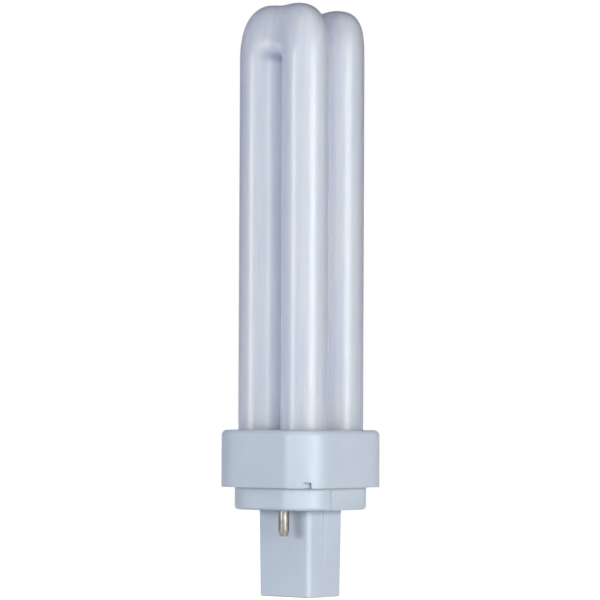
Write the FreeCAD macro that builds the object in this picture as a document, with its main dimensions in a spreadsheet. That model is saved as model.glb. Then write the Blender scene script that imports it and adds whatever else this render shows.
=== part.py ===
"""Double U-tube plug-in fluorescent lamp with a two-pin cap.

Two U-shaped glass tubes stand side by side and are joined by a short glass bridge hidden in
the cap, so the discharge runs through four limbs. Their feet are cemented into a square collar.
A plug housing snaps up into the collar and carries the two contact pins and the hollow
rectangular post, which holds the glow starter and its capacitor.

Millimetres. The post end stands at z = 0 and the lamp axis is +Z. X and Y run square to the
sides of the cap: the glass tubes bend in the XZ plane, one on each side of it.
"""
import FreeCAD, Part
import math
import os
import Sketcher
from FreeCAD import Placement, Rotation, Vector

document = FreeCAD.newDocument("u_tube_lamp")

# Driving dimensions, in millimetres and degrees
DRIVING_SIZES = [
    # glass
    ("limb_diameter", 12.2, "outside diameter of each glass limb"),
    ("limb_gap", 2.1, "gap between neighbouring limbs, along X and along Y"),
    ("glass_wall", 0.9, "thickness of the glass"),
    ("tube_rise", 110.5, "crown of the front bend's outline above the top of the collar"),
    ("bend_bulge", 1.7, "how much deeper the glass is at the top of a bend than a limb"),
    ("squareness_right", 3.4, "exponent of a bend's outline towards +X, 2 is an ellipse"),
    ("squareness_left", 2.6, "exponent of that outline towards -X"),
    ("saddle_depth", 0.8, "dip in the middle of a bend's top, between its two domed ends"),
    ("bend_waist", 1.4, "how much slimmer the glass is each side in the middle of a bend"),
    ("crown_steepness", 8.0, "how short that dip and waist are: the power of a sine"),
    ("rear_drop", 1.1, "how much lower the rear bend stands than the front one"),
    ("bend_lead", 3.0, "straight stretch of limb drawn together with the bend"),
    ("foot_height", 8.3, "centre of the limbs' domed feet above the collar's lower edge"),
    ("bridge_diameter", 5.0, "outside diameter of the glass bridge between the two tubes"),
    ("press_width", 6.5, "width of the flat press that seals an electrode"),
    ("press_thickness", 2.4, "thickness of that press"),
    ("press_drop", 2.4, "how far the press reaches below the domed foot"),
    # collar
    ("limb_margin", 2.15, "room between a limb and the collar's side wall"),
    ("collar_corner", 8.6, "radius of the collar's corners"),
    ("collar_height", 14.7, "height of the collar"),
    ("collar_wall", 1.6, "side wall of the collar"),
    ("collar_roof", 1.8, "top wall of the collar, which the limbs pass through"),
    ("collar_edge", 1.5, "rounding of the collar's top edge"),
    ("limb_clearance", 0.15, "gap round a limb in the collar's top wall"),
    ("window_width", 2.0, "width of the snap window in each lower corner"),
    ("window_height", 1.5, "height of the snap window"),
    # cement
    ("cement_depth", 2.0, "depth of the cement under the collar's top wall"),
    ("cement_clearance", 0.05, "gap between the cement and what it holds"),
    # plug housing
    ("block_inset", 2.3, "how far the lower block is set in from the collar's sides"),
    ("block_corner", 9.1, "radius of the block's corners"),
    ("block_height", 5.8, "height of the lower block"),
    ("block_edge", 0.9, "rounding of the block's lower edge"),
    ("block_floor", 1.5, "thickness of the block's floor, which the pins stand in"),
    ("housing_wall", 1.5, "side walls of the plug housing"),
    ("spigot_height", 4.0, "height of the rim that enters the collar"),
    ("spigot_clearance", 0.1, "gap between that rim and the collar"),
    ("spigot_fillet", 0.5, "hollow rounding between the block and the rim"),
    ("key_depth", 0.35, "how far the block's keyed side, +X, is set in"),
    ("key_start", -6.0, "where along Y that side is set in, from there rearwards"),
    ("key_groove_width", 1.3, "width of the upright groove beside that step"),
    ("key_groove_depth", 0.4, "depth of the groove below the keyed side"),
    ("lug_recess", 1.2, "how far a snap lug stays behind the collar's corner"),
    ("lug_clearance", 0.1, "gap round a snap lug in its window"),
    # post
    ("post_length", 22.4, "height of the post below the block"),
    ("post_corner", 1.1, "radius of the post's vertical corners"),
    ("post_draft", 0.7, "draft angle of each post face"),
    ("post_end_edge", 0.4, "rounding of the edge round the post's end"),
    ("post_floor", 1.5, "thickness of the post's closed end"),
    ("keyway_width", 1.6, "width of the keyway down each X face of the post"),
    ("keyway_shift", 1.75, "how far each keyway stands off the XZ plane, half a turn apart"),
    ("keyway_depth", 0.5, "depth of the keyway"),
    ("keyway_foot", 7.9, "height of the keyway's lower end"),
    # contact pins
    ("pin_wall_gap", 0.1, "gap between a pin's head and the block's side wall"),
    ("pin_offset", 3.7, "how far each pin stands from the YZ plane"),
    ("pin_diameter", 2.8, "outside diameter of a pin"),
    ("pin_length", 6.6, "length of a pin below the block"),
    ("pin_tip", 1.3, "length of the pin's tapered tip"),
    ("pin_tip_diameter", 1.7, "diameter at the end of the tip"),
    ("pin_seat_diameter", 3.2, "diameter of the pin where it is set in the block's floor"),
    ("pin_head_diameter", 4.2, "diameter of the head that sits on the block's floor"),
    ("pin_head_height", 1.0, "height of the head"),
    ("pin_bore", 1.1, "bore that takes the lead wire"),
    ("pin_bore_depth", 6.0, "depth of that bore below the top of the head"),
    ("pin_clearance", 0.05, "gap round a pin in its hole"),
    ("seam_width", 0.3, "open seam down the rolled pin"),
    # starter
    ("starter_diameter", 7.4, "diameter of the glow starter's glass"),
    ("starter_height", 15.0, "height of the glow starter's glass"),
    ("starter_shoulder", 2.2, "rounding of the starter's shoulder"),
    ("starter_clearance", 0.925, "gap between the starter or capacitor and the post's wall"),
    ("starter_press_width", 3.6, "width of the starter's flat press"),
    ("starter_press_thickness", 1.6, "thickness of that press"),
    ("starter_press_height", 2.6, "height of that press"),
    ("capacitor_width", 8.0, "capacitor along Y"),
    ("capacitor_thickness", 4.0, "capacitor along X"),
    ("capacitor_height", 9.0, "capacitor along Z"),
    ("capacitor_edge", 1.2, "rounding of the capacitor's corners"),
    ("capacitor_gap", 0.5, "gap between the starter and the capacitor"),
    ("capacitor_margin", 0.975, "room beside the capacitor, along Y"),
    # wires
    ("wire_diameter", 0.5, "diameter of the lead wires"),
    ("wire_bend", 0.9, "radius of a bend in a wire"),
    ("lead_spacing", 3.6, "distance between the two leads of one press"),
    ("starter_lead_spacing", 2.2, "distance between the starter's two leads"),
    ("pin_lead_drop", 1.5, "where a pin lead turns, below its press"),
    ("starter_lead_drop", 2.4, "where a starter lead turns, below its press"),
    ("solder_gap", 0.1, "gap left where one wire meets another"),
]

sheet = document.addObject("Spreadsheet::Sheet", "sizes")
for row, (alias, value, note) in enumerate(DRIVING_SIZES, start=1):
    sheet.set(f"A{row}", alias)
    sheet.set(f"B{row}", str(value))
    sheet.setAlias(f"B{row}", alias)
    sheet.set(f"C{row}", note)
document.recompute()


def size(alias):
    """Read one driving dimension from the sheet."""
    return float(sheet.get(alias))


# Levels and places worked out from the driving dimensions, as expressions
LIMB_RADIUS = "(sizes.limb_diameter / 2)"
LIMB_PITCH = "(sizes.limb_diameter + sizes.limb_gap)"
HALF_PITCH = f"({LIMB_PITCH} / 2)"
CROTCH_RADIUS = "(sizes.limb_gap / 2)"
BEND_HALF_WIDTH = f"({HALF_PITCH} + {LIMB_RADIUS})"
BEND_HEIGHT = f"({CROTCH_RADIUS} + sizes.limb_diameter + sizes.bend_bulge)"

BLOCK_BOTTOM = "sizes.post_length"
BLOCK_FLOOR = f"({BLOCK_BOTTOM} + sizes.block_floor)"
BLOCK_TOP = f"({BLOCK_BOTTOM} + sizes.block_height)"
COLLAR_TOP = f"({BLOCK_TOP} + sizes.collar_height)"
ROOF_UNDERSIDE = f"({COLLAR_TOP} - sizes.collar_roof)"
TUBE_TOP = f"({COLLAR_TOP} + sizes.tube_rise)"
FOOT_CENTRE = f"({BLOCK_TOP} + sizes.foot_height)"
PRESS_BOTTOM = f"({FOOT_CENTRE} - {LIMB_RADIUS} - sizes.press_drop)"

COLLAR_INSIDE = f"({LIMB_PITCH} + sizes.limb_diameter + 2 * sizes.limb_margin)"
COLLAR_WIDTH = f"({COLLAR_INSIDE} + 2 * sizes.collar_wall)"
COLLAR_INSIDE_CORNER = "(sizes.collar_corner - sizes.collar_wall)"
SPIGOT_WIDTH = f"({COLLAR_INSIDE} - 2 * sizes.spigot_clearance)"
SPIGOT_CORNER = f"({COLLAR_INSIDE_CORNER} - sizes.spigot_clearance)"
DRAFT_SHRINK = "(2 * sizes.post_length * tan(sizes.post_draft))"
BLOCK_WIDTH = f"({COLLAR_WIDTH} - 2 * sizes.block_inset)"
POST_INSIDE_WIDTH = ("(sizes.starter_diameter + sizes.capacitor_gap + sizes.capacitor_thickness"
                     " + 2 * sizes.starter_clearance)")
POST_INSIDE_DEPTH = "(sizes.capacitor_width + 2 * sizes.capacitor_margin)"
POST_END_WIDTH = f"({POST_INSIDE_WIDTH} + 2 * sizes.housing_wall)"
POST_END_DEPTH = f"({POST_INSIDE_DEPTH} + 2 * sizes.housing_wall)"
POST_WIDTH = f"({POST_END_WIDTH} + {DRAFT_SHRINK})"
POST_DEPTH = f"({POST_END_DEPTH} + {DRAFT_SHRINK})"
PIN_REACH = (f"({BLOCK_WIDTH} / 2 - sizes.housing_wall - sizes.pin_wall_gap"
             " - sizes.pin_head_diameter / 2)")
STARTER_PLACE = (f"(-{POST_INSIDE_WIDTH} / 2 + sizes.starter_clearance"
                 " + sizes.starter_diameter / 2)")
CAPACITOR_PLACE = (f"({POST_INSIDE_WIDTH} / 2 - sizes.starter_clearance"
                   " - sizes.capacitor_thickness / 2)")


def worked_out(expression):
    """Give the number that an expression on the sheet stands for."""
    return float(sheet.evalExpression(expression))


# Helpers for sketches
def origin_plane(body, role):
    """Find one of the body's own origin planes."""
    for feature in body.Origin.OriginFeatures:
        if feature.Role == role:
            return feature
    raise RuntimeError(f"no {role} in {body.Label}")


def add_sketch(body, name, level=None, role="XY_Plane"):
    """Add a sketch on one of the body's origin planes, raised to a level."""
    sketch = body.newObject("Sketcher::SketchObject", name)
    sketch.AttachmentSupport = [(origin_plane(body, role), "")]
    sketch.MapMode = "FlatFace"
    if level:
        sketch.setExpression("AttachmentOffset.Base.z", level)
    return sketch


def constrain(sketch, name, expression, *constraint):
    """Add a dimension to a sketch and bind it to an expression."""
    index = sketch.addConstraint(Sketcher.Constraint(*constraint))
    sketch.renameConstraint(index, name)
    sketch.setExpression(f"Constraints.{name}", expression)


def draw_rounded_rectangle(sketch, width, depth, corner):
    """Draw a rectangle with round corners, centred on the sketch origin."""
    half_width = worked_out(width) / 2
    half_depth = worked_out(depth) / 2
    radius = worked_out(corner)
    corners = [(1, 1), (-1, 1), (-1, -1), (1, -1)]
    arcs = []
    for turn, (side_x, side_y) in enumerate(corners):
        centre = Vector(side_x * (half_width - radius), side_y * (half_depth - radius), 0)
        circle = Part.Circle(centre, Vector(0, 0, 1), radius)
        first = turn * math.pi / 2
        arcs.append(sketch.addGeometry(Part.ArcOfCircle(circle, first, first + math.pi / 2)))
    for turn in range(4):
        here = arcs[turn]
        after = arcs[(turn + 1) % 4]
        from_point = sketch.getPoint(here, 2)
        to_point = sketch.getPoint(after, 1)
        line = sketch.addGeometry(Part.LineSegment(from_point, to_point))
        sketch.addConstraint(Sketcher.Constraint("Tangent", here, 2, line, 1))
        sketch.addConstraint(Sketcher.Constraint("Tangent", line, 2, after, 1))
        direction = "Horizontal" if turn % 2 == 0 else "Vertical"
        sketch.addConstraint(Sketcher.Constraint(direction, line))
    for other in arcs[1:]:
        sketch.addConstraint(Sketcher.Constraint("Equal", arcs[0], other))
    sketch.addConstraint(Sketcher.Constraint("Symmetric", arcs[0], 3, arcs[2], 3, -1, 1))
    constrain(sketch, "corner", corner, "Radius", arcs[0], radius)
    constrain(sketch, "width", f"{width} - 2 * {corner}",
              "DistanceX", arcs[1], 3, arcs[0], 3, 2 * (half_width - radius))
    constrain(sketch, "depth", f"{depth} - 2 * {corner}",
              "DistanceY", arcs[3], 3, arcs[0], 3, 2 * (half_depth - radius))


def draw_rectangle(sketch, left, right, low, high, tag=""):
    """Draw a rectangle between four coordinates given as expressions."""
    numbers = [worked_out(value) for value in (left, right, low, high)]
    places = [(numbers[0], numbers[2]), (numbers[1], numbers[2]),
              (numbers[1], numbers[3]), (numbers[0], numbers[3])]
    points = [Vector(x, y, 0) for x, y in places]
    lines = []
    for index in range(4):
        segment = Part.LineSegment(points[index], points[(index + 1) % 4])
        lines.append(sketch.addGeometry(segment))
    for index in range(4):
        sketch.addConstraint(
            Sketcher.Constraint("Coincident", lines[index], 2, lines[(index + 1) % 4], 1))
        direction = "Horizontal" if index % 2 == 0 else "Vertical"
        sketch.addConstraint(Sketcher.Constraint(direction, lines[index]))
    constrain(sketch, f"left{tag}", left, "DistanceX", -1, 1, lines[0], 1, numbers[0])
    constrain(sketch, f"right{tag}", right, "DistanceX", -1, 1, lines[0], 2, numbers[1])
    constrain(sketch, f"low{tag}", low, "DistanceY", -1, 1, lines[0], 1, numbers[2])
    constrain(sketch, f"high{tag}", high, "DistanceY", -1, 1, lines[2], 1, numbers[3])


def draw_circle(sketch, x, y, radius, tag=""):
    """Draw a circle whose centre and radius are expressions."""
    centre = Vector(worked_out(x), worked_out(y), 0)
    circle = sketch.addGeometry(Part.Circle(centre, Vector(0, 0, 1), worked_out(radius)))
    constrain(sketch, f"x{tag}", x, "DistanceX", -1, 1, circle, 3, centre.x)
    constrain(sketch, f"y{tag}", y, "DistanceY", -1, 1, circle, 3, centre.y)
    constrain(sketch, f"radius{tag}", radius, "Radius", circle, worked_out(radius))


def draw_profile(sketch, points):
    """Draw a closed outline through points given as pairs of expressions."""
    numbers = [Vector(worked_out(x), worked_out(y), 0) for x, y in points]
    count = len(points)
    for index in range(count):
        segment = Part.LineSegment(numbers[index], numbers[(index + 1) % count])
        sketch.addGeometry(segment)
    for index in range(count):
        after = (index + 1) % count
        sketch.addConstraint(Sketcher.Constraint("Coincident", index, 2, after, 1))
    for index, (x, y) in enumerate(points):
        constrain(sketch, f"x{index}", x, "DistanceX", -1, 1, index, 1, numbers[index].x)
        constrain(sketch, f"y{index}", y, "DistanceY", -1, 1, index, 1, numbers[index].y)


# Helpers for bodies and their features
def add_body(label):
    """Start a moulded or turned piece."""
    body = document.addObject("PartDesign::Body", label)
    body.Label = label
    return body


def add_pad(body, name, sketch, length):
    """Raise a sketch by a length."""
    pad = body.newObject("PartDesign::Pad", name)
    pad.Profile = sketch
    pad.setExpression("Length", length)
    document.recompute()
    return pad


def add_pocket(body, name, sketch, length, upwards=False):
    """Cut a sketch away, downwards unless told otherwise, and see that something went."""
    before = body.Shape.Volume
    pocket = body.newObject("PartDesign::Pocket", name)
    pocket.Profile = sketch
    pocket.Reversed = upwards
    pocket.setExpression("Length", length)
    document.recompute()
    if not body.Shape.Volume < before:
        raise RuntimeError(f"{name} cut nothing")
    return pocket


def edges_where(shape, wanted):
    """Name the edges of a shape that pass a test."""
    return [f"Edge{number}" for number, edge in enumerate(shape.Edges, start=1) if wanted(edge)]


def add_fillet(body, name, base, wanted, radius):
    """Round the edges of the base feature that pass a test."""
    fillet = body.newObject("PartDesign::Fillet", name)
    fillet.Base = (base, edges_where(base.Shape, wanted))
    fillet.setExpression("Radius", radius)
    document.recompute()
    return fillet


def lies_level(edge, level):
    """Tell whether all of an edge lies at one level."""
    box = edge.BoundBox
    return abs(box.ZMin - level) < 1e-4 and abs(box.ZMax - level) < 1e-4


def add_revolution(body, name, points):
    """Turn a profile of radius and height, given as expressions, about the body's Z axis."""
    sketch = add_sketch(body, f"{name}_profile", role="XZ_Plane")
    draw_profile(sketch, points)
    turned = body.newObject("PartDesign::Revolution", name)
    turned.Profile = sketch
    turned.ReferenceAxis = (sketch, ["V_Axis"])
    turned.Angle = 360
    document.recompute()
    return turned


# Glass
SECTION_STEP = 30


def add_limb_section(name, side_x, side_y, level, inset):
    """Add a round section of a straight limb."""
    circle = document.addObject("Part::Circle", name)
    circle.setExpression("Radius", f"{LIMB_RADIUS} - {inset}")
    circle.setExpression("Placement.Base.x", f"{side_x} * {HALF_PITCH}")
    circle.setExpression("Placement.Base.y", f"{side_y} * {HALF_PITCH}")
    circle.setExpression("Placement.Base.z", level)
    return circle


def add_bend_section(name, side_y, angle, crotch_axis, inset):
    """Add an oval section of a bend, turned by an angle about the axis of its crotch."""
    power = "sizes.squareness_right" if angle <= 90 else "sizes.squareness_left"
    across = f"abs(cos({angle})) / {BEND_HALF_WIDTH}"
    upward = f"sin({angle}) / {BEND_HEIGHT}"
    domed = f"(({across})^{power} + ({upward})^{power})^(-1 / {power})"
    reach = f"({domed} - sizes.saddle_depth * sin({angle})^sizes.crown_steepness)"
    waist = f"sizes.bend_waist * sin({angle})^sizes.crown_steepness"
    middle = f"(({reach} + {CROTCH_RADIUS}) / 2)"
    oval = document.addObject("Part::Ellipse", name)
    oval.Placement = Placement(Vector(), Rotation(Vector(0, 1, 0), -angle))
    oval.setExpression("MajorRadius", f"({reach} - {CROTCH_RADIUS}) / 2 - {inset}")
    oval.setExpression("MinorRadius", f"{LIMB_RADIUS} - {waist} - {inset}")
    oval.setExpression("Placement.Base.x", f"{middle} * cos({angle})")
    oval.setExpression("Placement.Base.y", f"{side_y} * {HALF_PITCH}")
    oval.setExpression("Placement.Base.z", f"{crotch_axis} + {middle} * sin({angle})")
    return oval


def add_u_tube(name, side_y, top, inset):
    """Add the two limbs and the moulded bend of one U-shaped tube, shrunk by an inset."""
    crotch_axis = f"({top} - {BEND_HEIGHT})"
    lead_level = f"({crotch_axis} - sizes.bend_lead)"
    sections = [
        add_limb_section(f"{name}_lead_right", 1, side_y, lead_level, inset),
        add_limb_section(f"{name}_start_right", 1, side_y, crotch_axis, inset),
    ]
    for angle in range(SECTION_STEP, 180, SECTION_STEP):
        sections.append(add_bend_section(
            f"{name}_section_{angle}", side_y, angle, crotch_axis, inset))
    for level, place in ((crotch_axis, "start"), (lead_level, "lead")):
        circle = add_limb_section(f"{name}_{place}_left", -1, side_y, level, inset)
        circle.Placement.Rotation = Rotation(Vector(0, 1, 0), 180)
        sections.append(circle)
    bend = document.addObject("Part::Loft", f"{name}_bend")
    bend.Sections = sections
    bend.Solid = True
    pieces = [bend]
    for side_x, place in ((1, "right"), (-1, "left")):
        limb = document.addObject("Part::Cylinder", f"{name}_limb_{place}")
        limb.setExpression("Radius", f"{LIMB_RADIUS} - {inset}")
        limb.setExpression("Height", f"{lead_level} - {FOOT_CENTRE}")
        foot = document.addObject("Part::Sphere", f"{name}_foot_{place}")
        foot.setExpression("Radius", f"{LIMB_RADIUS} - {inset}")
        for piece in (limb, foot):
            piece.setExpression("Placement.Base.x", f"{side_x} * {HALF_PITCH}")
            piece.setExpression("Placement.Base.y", f"{side_y} * {HALF_PITCH}")
            piece.setExpression("Placement.Base.z", FOOT_CENTRE)
        pieces += [limb, foot]
    return pieces


def add_bridge(name, inset):
    """Add the short glass bridge that joins the two tubes behind the +X limbs' feet."""
    bridge = document.addObject("Part::Cylinder", name)
    bridge.Placement = Placement(Vector(), Rotation(Vector(1, 0, 0), -90))
    bridge.setExpression("Radius", f"sizes.bridge_diameter / 2 - {inset}")
    bridge.setExpression("Height", LIMB_PITCH)
    bridge.setExpression("Placement.Base.x", HALF_PITCH)
    bridge.setExpression("Placement.Base.y", f"-{HALF_PITCH}")
    bridge.setExpression("Placement.Base.z", FOOT_CENTRE)
    return bridge


def add_press(name, side_y):
    """Add the flat press that seals the foot of a limb with an electrode."""
    press = document.addObject("Part::Box", name)
    press.setExpression("Length", "sizes.press_width")
    press.setExpression("Width", "sizes.press_thickness")
    press.setExpression("Height", f"{FOOT_CENTRE} - {PRESS_BOTTOM}")
    press.setExpression("Placement.Base.x", f"-{HALF_PITCH} - sizes.press_width / 2")
    press.setExpression("Placement.Base.y", f"{side_y} * {HALF_PITCH} - sizes.press_thickness / 2")
    press.setExpression("Placement.Base.z", PRESS_BOTTOM)
    return press


def make_discharge_tube():
    """Blow both U-shaped tubes, bridge them and seal them, as one hollow piece of glass."""
    shells = {}
    for layer, inset in (("glass", "0"), ("bore", "sizes.glass_wall")):
        front = add_u_tube(f"front_{layer}", -1, TUBE_TOP, inset)
        rear = add_u_tube(f"rear_{layer}", 1, f"({TUBE_TOP} - sizes.rear_drop)", inset)
        pieces = front + rear + [add_bridge(f"bridge_{layer}", inset)]
        if layer == "glass":
            pieces += [add_press("front_press", -1), add_press("rear_press", 1)]
        shells[layer] = document.addObject("Part::MultiFuse", f"whole_{layer}")
        shells[layer].Shapes = pieces
    tube = document.addObject("Part::Cut", "discharge_tube")
    tube.Label = "discharge_tube"
    tube.Base = shells["glass"]
    tube.Tool = shells["bore"]
    document.recompute()
    return tube


# Collar
def make_tube_collar():
    """Mould the square collar: an open-bottomed cap with four holes and four snap windows."""
    body = add_body("tube_collar")
    outline = add_sketch(body, "collar_outline", BLOCK_TOP)
    draw_rounded_rectangle(outline, COLLAR_WIDTH, COLLAR_WIDTH, "sizes.collar_corner")
    block = add_pad(body, "collar_block", outline, "sizes.collar_height")
    top = worked_out(COLLAR_TOP)
    add_fillet(body, "collar_top_edge", block, lambda edge: lies_level(edge, top),
               "sizes.collar_edge")
    inside = add_sketch(body, "collar_inside", BLOCK_TOP)
    draw_rounded_rectangle(inside, COLLAR_INSIDE, COLLAR_INSIDE, COLLAR_INSIDE_CORNER)
    add_pocket(body, "collar_cavity", inside, "sizes.collar_height - sizes.collar_roof",
               upwards=True)
    holes = add_sketch(body, "limb_holes", COLLAR_TOP)
    for number, (side_x, side_y) in enumerate(((1, 1), (-1, 1), (-1, -1), (1, -1))):
        draw_circle(holes, f"{side_x} * {HALF_PITCH}", f"{side_y} * {HALF_PITCH}",
                    f"{LIMB_RADIUS} + sizes.limb_clearance", tag=number)
    add_pocket(body, "limb_hole_cut", holes, "sizes.collar_roof")
    window = add_sketch(body, "window_outline", BLOCK_TOP)
    window.AttachmentOffset = Placement(Vector(), Rotation(Vector(0, 0, 1), 45))
    window.setExpression("AttachmentOffset.Base.z", BLOCK_TOP)
    draw_rectangle(window, f"{COLLAR_INSIDE} / 2", COLLAR_WIDTH,
                   "-sizes.window_width / 2", "sizes.window_width / 2")
    cut = add_pocket(body, "window_cut", window, "sizes.window_height", upwards=True)
    repeat_round(body, "windows", cut)
    return body


def repeat_round(body, name, feature):
    """Repeat a feature at the four corners."""
    pattern = body.newObject("PartDesign::PolarPattern", name)
    pattern.Originals = [feature]
    pattern.Axis = (feature.Profile[0], ["N_Axis"])
    pattern.Angle = 360
    pattern.Occurrences = 4
    body.Tip = pattern
    document.recompute()
    return pattern


# Cement
def make_basing_cement():
    """Cast the cement that fixes the limbs under the collar's top wall."""
    body = add_body("basing_cement")
    level = f"({ROOF_UNDERSIDE} - sizes.cement_depth)"
    outline = add_sketch(body, "cement_outline", level)
    width = f"({COLLAR_INSIDE} - 2 * sizes.cement_clearance)"
    draw_rounded_rectangle(outline, width, width,
                           f"({COLLAR_INSIDE_CORNER} - sizes.cement_clearance)")
    for number, (side_x, side_y) in enumerate(((1, 1), (-1, 1), (-1, -1), (1, -1))):
        draw_circle(outline, f"{side_x} * {HALF_PITCH}", f"{side_y} * {HALF_PITCH}",
                    f"{LIMB_RADIUS} + sizes.cement_clearance", tag=number)
    add_pad(body, "cement_layer", outline, "sizes.cement_depth")
    return body


# Plug housing
def make_plug_housing():
    """Mould the lower block, its rim in the collar and the hollow drafted post."""
    body = add_body("plug_housing")
    rim = add_sketch(body, "rim_outline", BLOCK_TOP)
    draw_rounded_rectangle(rim, SPIGOT_WIDTH, SPIGOT_WIDTH, SPIGOT_CORNER)
    add_pad(body, "rim", rim, "sizes.spigot_height")
    outline = add_sketch(body, "block_outline", BLOCK_BOTTOM)
    draw_rounded_rectangle(outline, BLOCK_WIDTH, BLOCK_WIDTH, "sizes.block_corner")
    block = add_pad(body, "block", outline, "sizes.block_height")
    top = worked_out(BLOCK_TOP)
    bottom = worked_out(BLOCK_BOTTOM)
    half = worked_out(BLOCK_WIDTH) / 2
    rounded = add_fillet(body, "rim_rounding", block,
                         lambda edge: lies_level(edge, top) and within_square(edge, half),
                         "sizes.spigot_fillet")
    add_fillet(body, "block_rounding", rounded, lambda edge: lies_level(edge, bottom),
               "sizes.block_edge")
    add_key(body)
    add_key_groove(body)
    add_post(body)
    add_housing_cavity(body)
    add_keyways(body)
    add_pin_holes(body)
    add_lugs(body)
    return body


def within_square(edge, half):
    """Tell whether an edge stays inside a centred square."""
    box = edge.BoundBox
    return max(box.XMax, box.YMax, -box.XMin, -box.YMin) < half + 1e-4


def add_key(body):
    """Set the keyed side in, from beside the post to past the block's rear corner."""
    key = add_sketch(body, "key_outline", BLOCK_BOTTOM)
    draw_rectangle(key, f"{BLOCK_WIDTH} / 2 - sizes.key_depth", f"{BLOCK_WIDTH}",
                   "sizes.key_start", f"{BLOCK_WIDTH}")
    add_pocket(body, "key_cut", key, "sizes.block_height - sizes.spigot_fillet", upwards=True)


def add_key_groove(body):
    """Cut the upright groove that stands beside the step of the keyed side."""
    groove = add_sketch(body, "key_groove_outline", BLOCK_BOTTOM)
    draw_rectangle(groove, f"{BLOCK_WIDTH} / 2 - sizes.key_depth - sizes.key_groove_depth",
                   f"{BLOCK_WIDTH}", "sizes.key_start",
                   "sizes.key_start + sizes.key_groove_width")
    add_pocket(body, "key_groove", groove, "sizes.block_height - sizes.spigot_fillet",
               upwards=True)


def add_post(body):
    """Draw the post from its root under the block down to its smaller closed end."""
    root = add_sketch(body, "post_root", f"{BLOCK_BOTTOM} + sizes.block_floor / 2")
    draw_rounded_rectangle(root, POST_WIDTH, POST_DEPTH, "sizes.post_corner")
    end = add_sketch(body, "post_end")
    draw_rounded_rectangle(end, POST_END_WIDTH, POST_END_DEPTH, "sizes.post_corner")
    post = body.newObject("PartDesign::AdditiveLoft", "post")
    post.Profile = end
    post.Sections = [root]
    post.Ruled = True
    document.recompute()
    add_fillet(body, "post_end_rounding", post, lambda edge: lies_level(edge, 0.0),
               "sizes.post_end_edge")


def add_housing_cavity(body):
    """Hollow the block from above, and the post below its floor."""
    wide = add_sketch(body, "rim_bore", f"{BLOCK_TOP} + sizes.spigot_height")
    width = f"({SPIGOT_WIDTH} - 2 * sizes.housing_wall)"
    corner = f"({SPIGOT_CORNER} - sizes.housing_wall)"
    draw_rounded_rectangle(wide, width, width, corner)
    add_pocket(body, "rim_cavity", wide, "sizes.spigot_height")
    block = add_sketch(body, "block_bore", BLOCK_TOP)
    width = f"({BLOCK_WIDTH} - 2 * sizes.housing_wall)"
    corner = "(sizes.block_corner - sizes.housing_wall)"
    draw_rounded_rectangle(block, width, width, corner)
    add_pocket(body, "block_cavity", block, "sizes.block_height - sizes.block_floor")
    post = add_sketch(body, "post_bore", BLOCK_FLOOR)
    draw_rounded_rectangle(post, POST_INSIDE_WIDTH, POST_INSIDE_DEPTH,
                           "(sizes.post_corner / 2)")
    add_pocket(body, "post_cavity", post, f"{BLOCK_FLOOR} - sizes.post_floor")


def add_keyways(body):
    """Cut the keyway down each X face of the post, the two half a turn apart."""
    for side, name in ((1, "right"), (-1, "left")):
        keyway = add_sketch(body, f"keyway_{name}", BLOCK_BOTTOM)
        inner = f"{side} * ({POST_WIDTH} / 2 - sizes.keyway_depth)"
        outer = f"{side} * ({POST_WIDTH} / 2 + sizes.keyway_depth)"
        left, right = (inner, outer) if side > 0 else (outer, inner)
        middle = f"(-{side} * sizes.keyway_shift)"
        draw_rectangle(keyway, left, right, f"{middle} - sizes.keyway_width / 2",
                       f"{middle} + sizes.keyway_width / 2")
        add_pocket(body, f"keyway_cut_{name}", keyway,
                   "sizes.post_length - sizes.keyway_foot")


def add_pin_holes(body):
    """Bore the two holes that the contact pins stand in."""
    holes = add_sketch(body, "pin_holes", BLOCK_FLOOR)
    for side, tag in ((1, "front"), (-1, "rear")):
        draw_circle(holes, f"{side} * sizes.pin_offset", f"-{side} * {PIN_REACH}",
                    "sizes.pin_seat_diameter / 2 + sizes.pin_clearance", tag=tag)
    add_pocket(body, "pin_hole_cut", holes, "sizes.block_floor")


def add_lugs(body):
    """Add the snap lugs that stand in the collar's corner windows."""
    lug = add_sketch(body, "lug_outline", BLOCK_TOP)
    lug.AttachmentOffset = Placement(Vector(), Rotation(Vector(0, 0, 1), 45))
    lug.setExpression("AttachmentOffset.Base.z", f"{BLOCK_TOP}")
    reach = corner_reach(COLLAR_WIDTH, "sizes.collar_corner")
    root = corner_reach(SPIGOT_WIDTH, SPIGOT_CORNER)
    draw_rectangle(lug, f"{root} - sizes.housing_wall / 2", f"{reach} - sizes.lug_recess",
                   "-sizes.window_width / 2 + sizes.lug_clearance",
                   "sizes.window_width / 2 - sizes.lug_clearance")
    pad = add_pad(body, "lug", lug, "sizes.window_height - sizes.lug_clearance")
    repeat_round(body, "lugs", pad)


def corner_reach(width, corner):
    """Give the distance from the axis to the far point of a rounded square's corner."""
    return f"(({width} / 2 - {corner}) * sqrt(2) + {corner})"


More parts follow.
